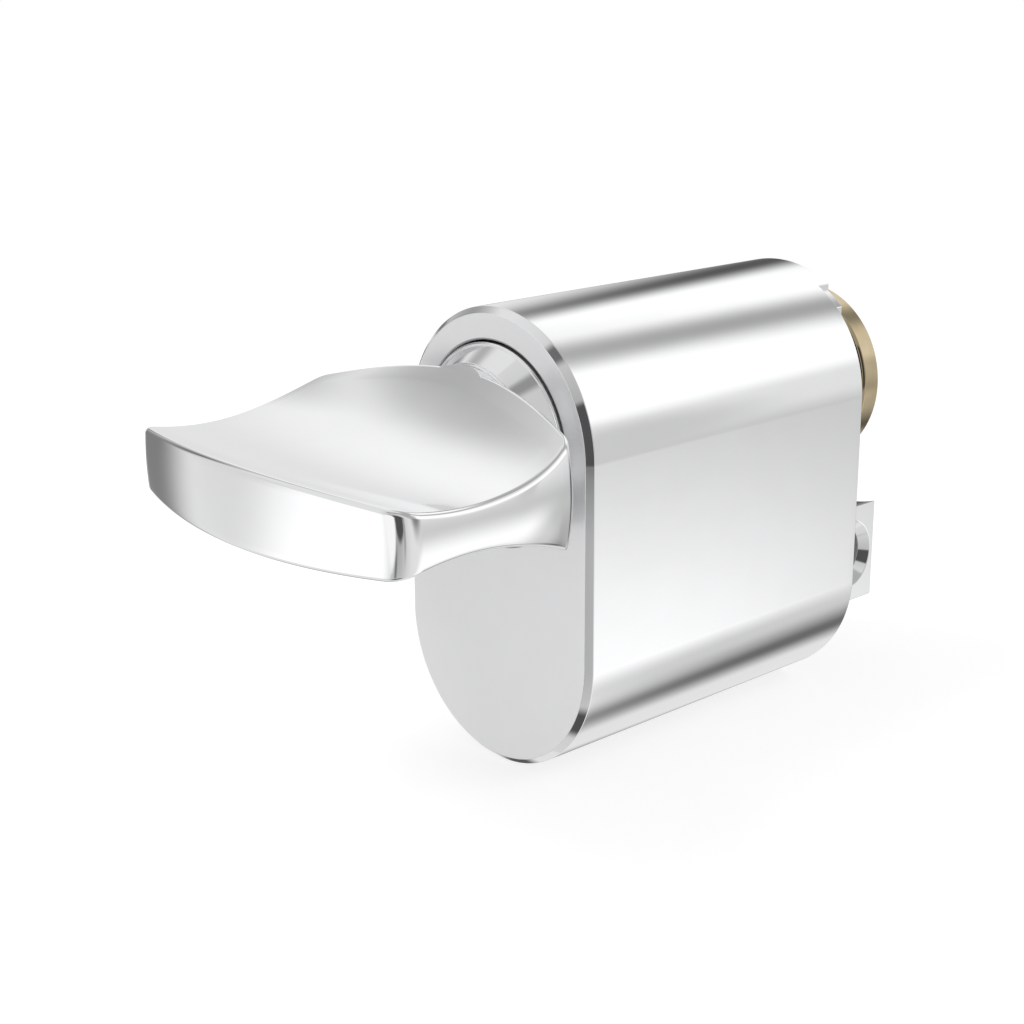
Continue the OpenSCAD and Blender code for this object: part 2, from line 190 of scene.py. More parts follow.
world = bpy.data.worlds.new("tent")
world.use_nodes = True
bpy.context.scene.world = world
sky = world.node_tree
sky.nodes.clear()
rays = sky.nodes.new("ShaderNodeLightPath")
mirrored = sky.nodes.new("ShaderNodeBackground")
mirrored.inputs["Color"].default_value = WHITE
sky.links.new(tent_wall(sky), mirrored.inputs["Strength"])
plain = sky.nodes.new("ShaderNodeBackground")
plain.inputs["Color"].default_value = WHITE
seen = math_node(sky, "MAXIMUM", rays.outputs["Is Camera Ray"], rays.outputs["Is Transmission Ray"])
light = math_node(sky, "ADD", math_node(sky, "MULTIPLY", seen, 1 - TENT_LIGHT), TENT_LIGHT)
sky.links.new(light, plain.inputs["Strength"])
tent = sky.nodes.new("ShaderNodeMixShader")
sky.links.new(rays.outputs["Is Glossy Ray"], tent.inputs["Fac"])
sky.links.new(plain.outputs["Background"], tent.inputs[1])
sky.links.new(mirrored.outputs["Background"], tent.inputs[2])
sky_output = sky.nodes.new("ShaderNodeOutputWorld")
sky.links.new(tent.outputs["Shader"], sky_output.inputs["Surface"])

for number, (place, level) in enumerate(LAMPS):
    lamp_data = bpy.data.lights.new("lamp_%d" % number, "AREA")
    lamp_data.size = LAMP_SIZE * MM
    lamp_data.energy = lamp_power(level, Vector(place).length * MM)
    lamp = bpy.data.objects.new("lamp_%d" % number, lamp_data)
    lamp.location = Vector(place) * MM
    lamp.rotation_euler = Vector(place).to_track_quat("Z", "Y").to_euler()
    lamp.visible_glossy = False
    bpy.context.scene.collection.objects.link(lamp)


# Floor
# A plain white sheet under the cylinder, which keeps the soft shadow and stays out of the metal.
# Its paint is grey, and a glow that only the camera sees lifts it to white. It is so small that
# its edges lie where it is as white as the background.
FLOOR_SIZE = 380
FLOOR_GLOW = 0.64
FLOOR_GREY = (0.5, 0.5, 0.5, 1)

floor_mesh = bmesh.new()
bmesh.ops.create_grid(floor_mesh, x_segments=1, y_segments=1, size=FLOOR_SIZE * MM / 2)
bmesh.ops.translate(floor_mesh, verts=floor_mesh.verts, vec=(0, 0, cad_box[0][2]))
floor_data = bpy.data.meshes.new("floor")
floor_mesh.to_mesh(floor_data)
floor_mesh.free()
floor = bpy.data.objects.new("floor", floor_data)
bpy.context.scene.collection.objects.link(floor)
floor.visible_glossy = False
floor_paint = bpy.data.materials.new("floor_paint")
floor_paint.use_nodes = True
floor_tree = floor_paint.node_tree
floor_shader = floor_tree.nodes["Principled BSDF"]
floor_shader.inputs["Base Color"].default_value = FLOOR_GREY
floor_shader.inputs["Specular IOR Level"].default_value = 0
floor_shader.inputs["Roughness"].default_value = 1
floor_shader.inputs["Emission Color"].default_value = WHITE
floor_rays = floor_tree.nodes.new("ShaderNodeLightPath")
glow = math_node(floor_tree, "MULTIPLY", floor_rays.outputs["Is Camera Ray"], FLOOR_GLOW)
floor_tree.links.new(glow, floor_shader.inputs["Emission Strength"])
floor_data.materials.append(floor_paint)


# Cylinder body
# The oval housing, machined from one bar and plated with polished chrome. It carries the raised
# land and key on its rear face, and the lug that the lock's retaining pin goes through.
# Its front face is satin, and its bores are bare metal.
LOBE_STEPS = 192
HOLE_STEPS = 96
BODY_RADIUS = 10.5
BODY_LENGTH = 31.8
LOBE_GAP = 15.7
FRONT_CHAMFER = 0.5
EDGE_BREAK = 0.05
RINGS_ALONG = (1.2, 6, 12, 18, 24, 28, 31, 32.6)
# The land is a ring with two wider parts above the axis, each given by its radius and half width.
LAND_HEIGHT = 1.37
LAND_RADIUS = 8.6
TONGUE = (10.0, 6.9)
KEY = (11.0, 5.4)
REAR_FACE = BODY_LENGTH + LAND_HEIGHT
# The box that the bar is stepped down in round the land: its half width and top, and its depth
# below the axis.
LAND_BOX = (12, 30)
# The lug's top is hollowed round the turn axis, from a little inside the body's end.
LUG_HALF_WIDTH = 4.2
LUG_BOTTOM = 21.4
LUG_HOLLOW = 13.06
LUG_END = 42.95
LUG_ROOT = 0.5
# The pin hole is a place along Y, a height and a radius. Its countersink's cone runs on past the lug.
LUG_PIN = (39.2, -16.883, 2.55)
LUG_SINK = 0.8
SINK_REACH = 0.5
# Each bore is its radius and where it ends, along Y in front and in height from below.
FRONT_BORES = ((8.08, 4.4), (7.0, 11.0), (6.6, 25.27))
DETENT_BORES = ((2.5, -19.05), (2.05, -6.3))
DETENT_PLACES = (14.6, 21.2)
REAR_BORE = 7.0
# The mouth of the first bore is a little narrower: its radius, its edge break and where it ends.
HOLE_EDGE = (8.0, 0.05, 0.5)
# How far a tool reaches past the piece that it cuts, or into the one that it joins.
OVER = 1
# In metres, points closer than MERGE are one, and a point within FLAT of a plane lies in it.
MERGE = 1e-7
FLAT = 1e-6
# A sum of normals shorter than this has no direction.
TINY = 1e-9
# Edges shorter than this, in millimetres, are merged before a bevel.
SLIVER = 0.004
SHARP_ANGLE = math.radians(32)
QUARTER_TURN = math.pi / 2
CHROME = (0.93, 0.935, 0.94)
WIPED = 0.985
SATIN = 0.3
SATIN_METAL = 0.55
SATIN_DEPTH = 0.02
BORED = (0.5, 0.5, 0.5)
BORED_ROUGHNESS = 0.5
BORED_METAL = 0.3
BORED_RADIUS = 8.15


def turned(bm, profile, steps=LOBE_STEPS):
    """Spins a profile of (radius, place along Y) round the turn axis into a closed shell."""
    before = set(bm.verts)
    points = [bm.verts.new((radius * MM, place * MM, 0)) for radius, place in profile]
    edges = [bm.edges.new(pair) for pair in zip(points, points[1:])]
    bmesh.ops.spin(bm, geom=points + edges, cent=(0, 0, 0), axis=(0, 1, 0), dvec=(0, 0, 0),
                   angle=2 * math.pi, steps=steps, use_merge=True)
    new = [v for v in bm.verts if v not in before]
    bmesh.ops.remove_doubles(bm, verts=new, dist=MERGE)
    new = [v for v in bm.verts if v not in before]
    bmesh.ops.recalc_face_normals(bm, faces=list({f for v in new for f in v.link_faces}))
    return new


def rod(bm, radius, start, end, steps=HOLE_STEPS):
    """A plain rod along the turn axis."""
    return turned(bm, ((0, start), (radius, start), (radius, end), (0, end)), steps)


def box_mesh(low, high):
    """A box between two corners, in millimetres."""
    bm = bmesh.new()
    bmesh.ops.create_cube(bm, size=1)
    size = [(b - a) * MM for a, b in zip(low, high)]
    middle = [(a + b) / 2 * MM for a, b in zip(low, high)]
    bmesh.ops.scale(bm, verts=bm.verts, vec=size)
    bmesh.ops.translate(bm, verts=bm.verts, vec=middle)
    return bm


def cut_plane(bm, normal, place, clear=False):
    """Cuts a whole mesh along a plane, and clears what lies in front of it where that is wanted."""
    return bmesh.ops.bisect_plane(bm, geom=list(bm.verts) + list(bm.edges) + list(bm.faces),
                                  plane_co=Vector(normal) * place * MM, plane_no=normal,
                                  dist=0 if clear else MERGE, clear_outer=clear)


def slice_mesh(bm, axis, places):
    """Adds rings to a mesh across one axis at each place."""
    normal = [0, 0, 0]
    normal[axis] = 1
    for place in places:
        cut_plane(bm, normal, place)


def bevel_edges(bm, edges, width, segments):
    """Gives edges a chamfer, with one segment, or a round, with more."""
    bmesh.ops.bevel(bm, geom=edges, offset=width * MM, offset_type="OFFSET", segments=segments,
                    profile=0.5, affect="EDGES", material=-1)


def new_object(name, bm):
    """An object at the origin that holds the mesh."""
    mesh = bpy.data.meshes.new(name)
    bm.to_mesh(mesh)
    bm.free()
    obj = bpy.data.objects.new(name, mesh)
    bpy.context.scene.collection.objects.link(obj)
    return obj


def apply_modifiers(piece):
    """Replaces the piece's mesh by what its modifiers make of it."""
    mesh = bpy.data.meshes.new_from_object(
        piece.evaluated_get(bpy.context.evaluated_depsgraph_get()))
    piece.modifiers.clear()
    piece.data = mesh


def taken(piece):
    """A finished tool's mesh, whose object goes."""
    bm = bmesh.new()
    bm.from_mesh(piece.data)
    bpy.data.objects.remove(piece)
    return bm


def combine(piece, operation, bm):
    """Joins a mesh to the piece, or cuts it away, and leaves one closed skin."""
    other = new_object("tool", bm)
    boolean = piece.modifiers.new("boolean", "BOOLEAN")
    boolean.solver = "EXACT"
    boolean.operation = operation
    boolean.object = other
    apply_modifiers(piece)
    bpy.data.objects.remove(other)


def bevel_piece(piece, width, segments=3):
    """Merges the slivers that the cuts left and breaks the sharp edges."""
    bm = bmesh.new()
    bm.from_mesh(piece.data)
    bmesh.ops.remove_doubles(bm, verts=bm.verts, dist=SLIVER * MM)
    bmesh.ops.dissolve_degenerate(bm, edges=bm.edges, dist=SLIVER * MM)
    bm.to_mesh(piece.data)
    bm.free()
    bevel = piece.modifiers.new("bevel", "BEVEL")
    bevel.width = width * MM
    bevel.segments = segments
    bevel.limit_method = "ANGLE"
    bevel.angle_limit = SHARP_ANGLE
    bevel.use_clamp_overlap = False
    apply_modifiers(piece)


def set_normals(mesh):
    """Shades a mesh smooth where its faces meet at less than SHARP_ANGLE, each by its area."""
    mesh.shade_smooth()
    mesh.set_sharp_from_angle(angle=SHARP_ANGLE)
    around = [[] for _ in mesh.vertices]
    for face in mesh.polygons:
        for vert in face.vertices:
            around[vert].append((face.normal, face.area))
    limit = math.cos(SHARP_ANGLE)
    normals = []
    for face in mesh.polygons:
        for vert in face.vertices:
            total = Vector((0, 0, 0))
            for normal, area in around[vert]:
                if normal.dot(face.normal) > limit:
                    total += normal * (area / MM / MM)
            normals.append(total.normalized() if total.length > TINY else face.normal)
    mesh.normals_split_custom_set(normals)


def dress(piece, material, body, slot, *nodes):
    """Smooths a piece, gives it its material and body, and hides the nodes it stands for."""
    set_normals(piece.data)
    piece.data.materials.clear()
    piece.data.materials.append(material)
    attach(piece, body)
    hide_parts(*nodes)


def object_pattern(tree, scale):
    """The place on the object in millimetres, times a scale along each axis."""
    mapping = tree.nodes.new("ShaderNodeMapping")
    mapping.inputs["Scale"].default_value = Vector(scale) / MM
    place = tree.nodes.new("ShaderNodeTexCoord").outputs["Object"]
    tree.links.new(place, mapping.inputs["Vector"])
    return mapping.outputs["Vector"]


def noise(tree, scale, detail):
    """A noise pattern whose scale is cells per millimetre along each axis."""
    texture = tree.nodes.new("ShaderNodeTexNoise")
    texture.inputs["Scale"].default_value = 1
    texture.inputs["Detail"].default_value = detail
    texture.inputs["Roughness"].default_value = 0.5
    tree.links.new(object_pattern(tree, scale), texture.inputs["Vector"])
    return texture.outputs["Fac"]


def ranged(tree, value, low, high, start=0.3, end=0.7):
    """Maps a pattern's value from start to end onto low to high."""
    node = tree.nodes.new("ShaderNodeMapRange")
    node.inputs["From Min"].default_value = start
    node.inputs["From Max"].default_value = end
    node.inputs["To Min"].default_value = low
    node.inputs["To Max"].default_value = high
    tree.links.new(value, node.inputs["Value"])
    return node.outputs["Result"]


def bump(tree, height, depth, shader):
    """Raises the shader's surface by a pattern, whose full depth is in millimetres."""
    node = tree.nodes.new("ShaderNodeBump")
    node.inputs["Strength"].default_value = 1
    node.inputs["Distance"].default_value = depth * MM
    tree.links.new(height, node.inputs["Height"])
    tree.links.new(node.outputs["Normal"], shader.inputs["Normal"])


def new_material(name, colour, metallic, roughness):
    """A material with its own tree and shader."""
    material = bpy.data.materials.new(name)
    material.use_nodes = True
    shader = material.node_tree.nodes["Principled BSDF"]
    shader.inputs["Base Color"].default_value = (*colour, 1)
    shader.inputs["Metallic"].default_value = metallic
    shader.inputs["Roughness"].default_value = roughness
    return material, material.node_tree, shader


def tinted(tree, shader, value, dark, light):
    """Mixes the base colour between two colours by a pattern."""
    mix = tree.nodes.new("ShaderNodeMix")
    mix.data_type = "RGBA"
    mix.inputs["A"].default_value = (*dark, 1)
    mix.inputs["B"].default_value = (*light, 1)
    tree.links.new(value, mix.inputs["Factor"])
    tree.links.new(mix.outputs["Result"], shader.inputs["Base Color"])


def polished_chrome(name):
    """Bright plating, with faint wipe marks and the slight waviness of a polished face."""
    material, tree, shader = new_material(name, CHROME, metallic=1, roughness=0.05)
    smears = noise(tree, (0.12, 0.05, 0.12), detail=4)
    tree.links.new(ranged(tree, smears, 0.035, 0.085), shader.inputs["Roughness"])
    wiped = ranged(tree, noise(tree, (0.3, 0.3, 0.3), detail=5), 0, 1)
    tinted(tree, shader, wiped, tuple(c * WIPED for c in CHROME), CHROME)
    bump(tree, noise(tree, (0.35, 0.12, 0.35), detail=2), 0.003, shader)
    return material


def blended(tree, socket, mask, wanted):
    """Leads an input towards another value where the mask is 1."""
    mix = tree.nodes.new("ShaderNodeMix")
    if socket.type == "RGBA":
        mix.data_type = "RGBA"
    mix.inputs["A"].default_value = socket.default_value
    if socket.is_linked:
        tree.links.new(socket.links[0].from_socket, mix.inputs["A"])
    mix.inputs["B"].default_value = wanted
    tree.links.new(mask, mix.inputs["Factor"])
    tree.links.new(mix.outputs["Result"], socket)


def squared(tree, value, middle):
    """The square of a value's distance from a middle."""
    away = math_node(tree, "SUBTRACT", value, middle)
    return math_node(tree, "MULTIPLY", away, away)


def within(tree, first, second, middles, radius):
    """1 where two coordinates lie inside a circle, and 0 elsewhere."""
    apart = math_node(tree, "ADD", squared(tree, first, middles[0]),
                      squared(tree, second, middles[1]))
    return math_node(tree, "LESS_THAN", apart, radius ** 2)


def body_chrome():
    """The body's plating: the front face is satin and the bores are bare grey metal."""
    material = polished_chrome("body_chrome")
    tree = material.node_tree
    shader = tree.nodes["Principled BSDF"]
    place = tree.nodes.new("ShaderNodeSeparateXYZ")
    tree.links.new(object_pattern(tree, (1, 1, 1)), place.inputs["Vector"])
    x, y, z = place.outputs
    front = math_node(tree, "LESS_THAN", y, SATIN_DEPTH)
    bored = math_node(tree, "MULTIPLY", within(tree, x, z, (0, 0), BORED_RADIUS),
                      math_node(tree, "LESS_THAN", y, BODY_LENGTH - OVER))
    pin_place, pin_height, pin_radius = LUG_PIN
    inside = math_node(tree, "MAXIMUM", bored, within(
        tree, y, z, (pin_place, pin_height), pin_radius + EDGE_BREAK))
    blended(tree, shader.inputs["Roughness"], front, SATIN)
    blended(tree, shader.inputs["Metallic"], front, SATIN_METAL)
    blended(tree, shader.inputs["Roughness"], inside, BORED_ROUGHNESS)
    blended(tree, shader.inputs["Metallic"], inside, BORED_METAL)
    blended(tree, shader.inputs["Base Color"], inside, (*BORED, 1))
    return material


def oval_bar():
    """The oval bar with its front chamfer, as long as the body and its land."""
    bm = bmesh.new()
    outline = bmesh.ops.create_circle(bm, cap_ends=True, segments=LOBE_STEPS,
                                      radius=BODY_RADIUS * MM)["verts"]
    turn_half_step = Matrix.Rotation(math.pi / LOBE_STEPS, 4, "Z")
    stand = Matrix.Rotation(QUARTER_TURN, 4, "X")
    bmesh.ops.transform(bm, matrix=stand @ turn_half_step, verts=outline)
    lower = [v for v in outline if v.co.z < 0]
    bmesh.ops.translate(bm, verts=lower, vec=(0, 0, -LOBE_GAP * MM))
    back = bmesh.ops.extrude_face_region(bm, geom=list(bm.faces))["geom"]
    back = [g for g in back if isinstance(g, bmesh.types.BMVert)]
    bmesh.ops.translate(bm, verts=back, vec=(0, REAR_FACE * MM, 0))
    bmesh.ops.recalc_face_normals(bm, faces=bm.faces)
    front = [e for e in bm.edges if all(abs(v.co.y) < FLAT for v in e.verts)]
    bevel_edges(bm, front, FRONT_CHAMFER, segments=1)
    slice_mesh(bm, 1, RINGS_ALONG)
    return new_object("cylinder_body_skin", bm)


def land_sector(radius, half_width):
    """The part of a round land above the axis, between two upright sides."""
    bm = bmesh.new()
    rod(bm, radius, BODY_LENGTH - OVER, REAR_FACE + 2 * OVER, LOBE_STEPS)
    for normal, place in (((1, 0, 0), half_width), ((-1, 0, 0), half_width), ((0, 0, -1), 0)):
        cut = cut_plane(bm, normal, place, clear=True)
        edges = [g for g in cut["geom_cut"] if isinstance(g, bmesh.types.BMEdge)]
        bmesh.ops.holes_fill(bm, edges=edges)
    bmesh.ops.recalc_face_normals(bm, faces=bm.faces)
    return bm


def lug_hole():
    """The crosswise hole for the pin, countersunk on both sides of the lug."""
    place, height, radius = LUG_PIN
    reach = LUG_HALF_WIDTH + SINK_REACH
    wall = LUG_HALF_WIDTH - LUG_SINK
    flare = radius + reach - wall
    bm = bmesh.new()
    turned(bm, ((0, -reach), (flare, -reach), (radius, -wall), (radius, wall),
                (flare, reach), (0, reach)), HOLE_STEPS)
    crosswise = Matrix.Rotation(-QUARTER_TURN, 3, "Z")
    bmesh.ops.rotate(bm, verts=bm.verts, cent=(0, 0, 0), matrix=crosswise)
    bmesh.ops.translate(bm, verts=bm.verts, vec=(0, place * MM, height * MM))
    return bm


def stepped_bores():
    """The stepped bore of the collar, bushes and shaft."""
    edge_radius, edge_depth, edge_end = HOLE_EDGE
    outer = FRONT_BORES[0][0]
    profile = [(0, -OVER), (outer, -OVER), (outer, 0), (edge_radius, edge_depth),
               (edge_radius, edge_end)]
    start = edge_end
    for radius, end in FRONT_BORES:
        profile += [(radius, start), (radius, end)]
        start = end
    profile += [(REAR_BORE, start), (REAR_BORE, REAR_FACE + OVER), (0, REAR_FACE + OVER)]
    bm = bmesh.new()
    turned(bm, profile, LOBE_STEPS)
    return bm


def detent_bore(place):
    """A stepped hole from the underside up to the shaft's bore."""
    start = -(LOBE_GAP + BODY_RADIUS + OVER)
    profile = [(0, start)]
    for radius, end in DETENT_BORES:
        profile += [(radius, start), (radius, end)]
        start = end
    profile.append((0, start))
    bm = bmesh.new()
    turned(bm, profile, HOLE_STEPS)
    upright = Matrix.Rotation(QUARTER_TURN, 3, "X")
    bmesh.ops.rotate(bm, verts=bm.verts, cent=(0, 0, 0), matrix=upright)
    bmesh.ops.translate(bm, verts=bm.verts, vec=(0, place * MM, 0))
    return bm


body = oval_bar()
land_reach, land_low = LAND_BOX
step = new_object("step", box_mesh((-land_reach, BODY_LENGTH, -land_low),
                                   (land_reach, REAR_FACE + OVER, land_reach)))
land = bmesh.new()
rod(land, LAND_RADIUS, BODY_LENGTH - OVER, REAR_FACE + 2 * OVER, LOBE_STEPS)
combine(step, "DIFFERENCE", land)
combine(step, "DIFFERENCE", land_sector(*TONGUE))
combine(step, "DIFFERENCE", land_sector(*KEY))
combine(body, "DIFFERENCE", taken(step))
lug = new_object("lug", box_mesh((-LUG_HALF_WIDTH, BODY_LENGTH - OVER, -LUG_BOTTOM),
                                 (LUG_HALF_WIDTH, LUG_END, -LUG_HOLLOW + 2 * OVER)))
hollow = bmesh.new()
rod(hollow, LUG_HOLLOW, BODY_LENGTH - LUG_ROOT, LUG_END + OVER, 2 * LOBE_STEPS)
combine(lug, "DIFFERENCE", hollow)
combine(lug, "DIFFERENCE", lug_hole())
combine(body, "UNION", taken(lug))
combine(body, "DIFFERENCE", stepped_bores())
for place in DETENT_PLACES:
    combine(body, "DIFFERENCE", detent_bore(place))
bevel_piece(body, EDGE_BREAK)
dress(body, body_chrome(), "housing", "chrome_plate", "cylinder_body")


# Thumb turn
# The handle, neck and collar, forged in one piece and plated. Its top and underside are dished
# for the fingers, its sides bow outwards, and it narrows behind to the round neck.
# A square tenon behind the collar fits the shaft.

# In plan, the front and rear are arcs, each an apex along Y and a radius. The sides are widest at
# a place along Y, and narrow from there by a factor times the distance to a power.
FRONT_ARC = (-23.8, 50)
REAR_ARC = (-2.85, 43)
ARC_REACH = 20
SIDE_WIDEST = (-12.0, 15.65)
SIDE_FRONT = (0.0005, 2.0)
SIDE_REAR = (0.0095, 2.4)
SIDE_CROWN = 28
# The dish is its least half thickness and where that lies along Y, in the middle and at the sides.
DISH_RADIUS = 21.5
DISH_MIDDLE = (1.87, -16.82)
DISH_SIDE = (1.65, -15.75)
DISH_SIDE_AT = 14.28
UNDERSIDE_DROP = 0.08
# The handle starts as a block of these half sizes with rounded corners and rims, cut into a grid.
# A zone along each edge keeps its size while the block is bent to shape.
BLOCK = (14.7, 9.4, 2.75)
FRONT_CORNER = 1.4
REAR_CORNER = 0.8
CORNER_STEPS = 6
RIM = 0.42
RIM_STEPS = 5
EDGE_ZONE = 1.6
BLOCK_GRID = (64, 48, 8)
BENDING_ROUNDS = 8
# An edge whose faces meet at more than this angle, in radians, is one to round.
SQUARE_EDGE = 1
# A short round hub joins the handle to the neck. Its rear edge is rounded by steps off its radius
# and its end.
HUB_RADIUS = 6.52
HUB_FRONT = -4.6
HUB_REAR = -2.15
HUB_ROUNDING = ((0, -0.3), (-0.03, -0.18), (-0.1, -0.08), (-0.2, -0.02), (-0.3, 0))
# The slab that trims the hub: its reach to each side and behind, its grid, and how much thinner
# than the handle it is.
TRIM_REACH = 9
TRIM_REAR = 0.5
TRIM_GRID = (48, 24)
TRIM_THINNER = 0.01
NECK_PROFILE = ((0, -2.2), (6.44, -2.2), (6.50, -2.15), (6.51, -1.96), (6.54, -1.84),
                (7.54, -0.32), (7.58, -0.26), (7.62, -0.20), (7.65, -0.19), (7.68, -0.23),
                (7.73, -0.25), (7.80, -0.21), (7.84, -0.14), (7.85, -0.05))
# The collar is its radius and end, and its groove is a start, an end and a radius.
COLLAR = (7.85, 2.6)
COLLAR_BREAK = 0.2
SEAL_GROOVE = (0.92, 1.98, 7.08)
# The tenon is its half width, start and end.
TENON = (3.5, 2, 10.8)


def arc_place(arc, x, forwards):
    """Where a plan arc lies along Y at x, in front of its apex or behind it."""
    apex, radius = arc
    return apex + forwards * (radius - math.sqrt(radius * radius - x * x))


def half_width(y):
    """The handle's half width along Y."""
    middle, widest = SIDE_WIDEST
    factor, power = SIDE_FRONT if y < middle else SIDE_REAR
    return widest - factor * abs(y - middle) ** power


def half_height(x, y):
    """The handle's half thickness, dished along Y and a little thinner at its sides."""
    share = (x / DISH_SIDE_AT) ** 2
    thin = DISH_MIDDLE[0] + share * (DISH_SIDE[0] - DISH_MIDDLE[0])
    middle = DISH_MIDDLE[1] + share * (DISH_SIDE[1] - DISH_MIDDLE[1])
    return thin + (y - middle) ** 2 / (2 * DISH_RADIUS)


def stretched(value, half, wanted):
    """Moves a place in a block to a wanted half size and keeps its edge zones unstretched."""
    inner = half - EDGE_ZONE
    if abs(value) > inner:
        return math.copysign(wanted - (half - abs(value)), value)
    return value * (wanted - EDGE_ZONE) / inner


def spread(low, high, count):
    """Evenly spaced places from low to high."""
    return [low + (high - low) * step / count for step in range(count + 1)]


def shape_handle(bm):
    """Bows the block's plan and dishes its top and underside.

    A point's x and y depend on each other, and each round brings both closer.
    """
    half_x, half_y, half_z = BLOCK
    for vert in bm.verts:
        u, v, w = (c / MM for c in vert.co)
        x = y = 0
        for _ in range(BENDING_ROUNDS):
            front = arc_place(FRONT_ARC, min(abs(x), ARC_REACH), 1)
            back = arc_place(REAR_ARC, min(abs(x), ARC_REACH), -1)
            y = (front + back) / 2 + stretched(v, half_y, (back - front) / 2)
            x = stretched(u, half_x, half_width(y))
        reach = half_height(x, y) + (UNDERSIDE_DROP if w < 0 else 0)
        z = math.copysign(reach - (half_z - abs(w)), w)
        if abs(w) < half_z - 2 * RIM:
            z = w * (reach - 2 * RIM) / (half_z - 2 * RIM)
        x -= (u / half_x) * z * z / SIDE_CROWN
        vert.co = Vector((x, y, z)) * MM


def is_corner(edge, rear):
    """Whether an edge of the block stands upright at its front or its rear corners."""
    low, high = (v.co for v in edge.verts)
    upright = abs(low.z - high.z) > MM and abs(low.x - high.x) < FLAT
    return upright and (low.y > 0) == rear and edge.calc_face_angle(0) > SQUARE_EDGE


def is_rim(edge):
    """Whether an edge runs round the block's top or underside."""
    first, second = (v.co.z for v in edge.verts)
    level = abs(abs(first) - BLOCK[2] * MM) < FLAT and abs(first - second) < FLAT
    return level and edge.calc_face_angle(0) > SQUARE_EDGE


def handle_block():
    """The handle with its rounded corners and rims."""
    half_x, half_y, half_z = BLOCK
    bm = box_mesh((-half_x, -half_y, -half_z), (half_x, half_y, half_z))
    for rear, width in ((False, FRONT_CORNER), (True, REAR_CORNER)):
        bevel_edges(bm, [e for e in bm.edges if is_corner(e, rear)], width, CORNER_STEPS)
    bevel_edges(bm, [e for e in bm.edges if is_rim(e)], RIM, RIM_STEPS)
    zones = (EDGE_ZONE, EDGE_ZONE, 2 * RIM)
    for axis, (half, zone, count) in enumerate(zip(BLOCK, zones, BLOCK_GRID)):
        slice_mesh(bm, axis, spread(-half + zone, half - zone, count))
    shape_handle(bm)
    bmesh.ops.recalc_face_normals(bm, faces=bm.faces)
    return new_object("thumb_turn_skin", bm)


def dish_slab():
    """A slab with the handle's dished top and underside, wide enough to trim the hub."""
    across, along = TRIM_GRID
    start = HUB_FRONT - OVER
    bm = box_mesh((-TRIM_REACH, start, -1), (TRIM_REACH, TRIM_REAR, 1))
    slice_mesh(bm, 0, spread(-TRIM_REACH, TRIM_REACH, across)[1:-1])
    slice_mesh(bm, 1, spread(start, TRIM_REAR, along)[1:-1])
    for vert in bm.verts:
        x, y, z = (c / MM for c in vert.co)
        vert.co.z = math.copysign(half_height(x, y) - TRIM_THINNER, z) * MM
    return bm


def hub_mesh():
    """The round hub with its rounded rear edge."""
    bm = bmesh.new()
    rounding = tuple((HUB_RADIUS + off, HUB_REAR + back) for off, back in HUB_ROUNDING)
    turned(bm, ((0, HUB_FRONT), (HUB_RADIUS, HUB_FRONT)) + rounding + ((0, HUB_REAR),))
    return bm


def neck_mesh():
    """The neck, collar and seal groove behind the handle."""
    radius, depth = COLLAR
    groove_start, groove_end, groove_radius = SEAL_GROOVE
    bm = bmesh.new()
    turned(bm, NECK_PROFILE + (
        (radius, groove_start), (groove_radius, groove_start), (groove_radius, groove_end),
        (radius, groove_end), (radius, depth - COLLAR_BREAK), (radius - COLLAR_BREAK, depth),
        (0, depth)))
    return bm


hub = new_object("hub", hub_mesh())
combine(hub, "INTERSECT", dish_slab())
handle = handle_block()
combine(handle, "UNION", taken(hub))
combine(handle, "UNION", neck_mesh())
tenon_half, tenon_start, tenon_end = TENON
combine(handle, "UNION", box_mesh((-tenon_half, tenon_start, -tenon_half),
                                  (tenon_half, tenon_end, tenon_half)))
dress(handle, polished_chrome("turn_chrome"), "turn", "chrome_plate", "thumb_turn")


# Collar seal ring
# A moulded ring of black rubber, held in the groove of the turn's collar.
# It fills the gap to the body's recess and makes it look black, partly by the rubber's own
# colour and partly as painted shade in that narrow gap.
RUBBER = (0.02, 0.02, 0.02)
RUBBER_DARK = (0.012, 0.012, 0.012)
RUBBER_LIGHT = (0.03, 0.03, 0.032)


def seal_rubber():
    """Matt black rubber with a fine grain."""
    material, tree, shader = new_material("seal_rubber", RUBBER, metallic=0, roughness=0.6)
    grain = noise(tree, (6, 6, 6), detail=4)
    tree.links.new(ranged(tree, grain, 0.5, 0.75), shader.inputs["Roughness"])
    tinted(tree, shader, grain, RUBBER_DARK, RUBBER_LIGHT)
    bump(tree, grain, 0.01, shader)
    return material


def finish_nodes(material, *names):
    """Gives CAD nodes that stay as they are their material."""
    for name in names:
        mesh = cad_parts[name].data
        mesh.materials.clear()
        mesh.materials.append(material)


finish_nodes(seal_rubber(), "collar_seal_ring")


# Bushes
# Two bushes of oiled, sintered bronze that the shaft turns in, pressed into the body's bores.
# The front one has a flange.
BRONZE = (0.55, 0.40, 0.24)
BRONZE_DARK = (0.36, 0.24, 0.13)
BRONZE_LIGHT = (0.60, 0.44, 0.27)


def oiled_bronze():
    """Brown bronze with fine pores."""
    material, tree, shader = new_material("oiled_bronze", BRONZE, metallic=1, roughness=0.35)
    pores = noise(tree, (4, 4, 4), detail=5)
    tinted(tree, shader, ranged(tree, pores, 0, 1), BRONZE_DARK, BRONZE_LIGHT)
    tree.links.new(ranged(tree, pores, 0.5, 0.25), shader.inputs["Roughness"])
    bump(tree, pores, 0.01, shader)
    return material


finish_nodes(oiled_bronze(), "front_bush", "rear_bush")


# Drive disc
# A turned brass disc on the shaft's rear end. A slot across its face drives the lock, and two
# countersunk screws and a dowel fix it to the shaft.

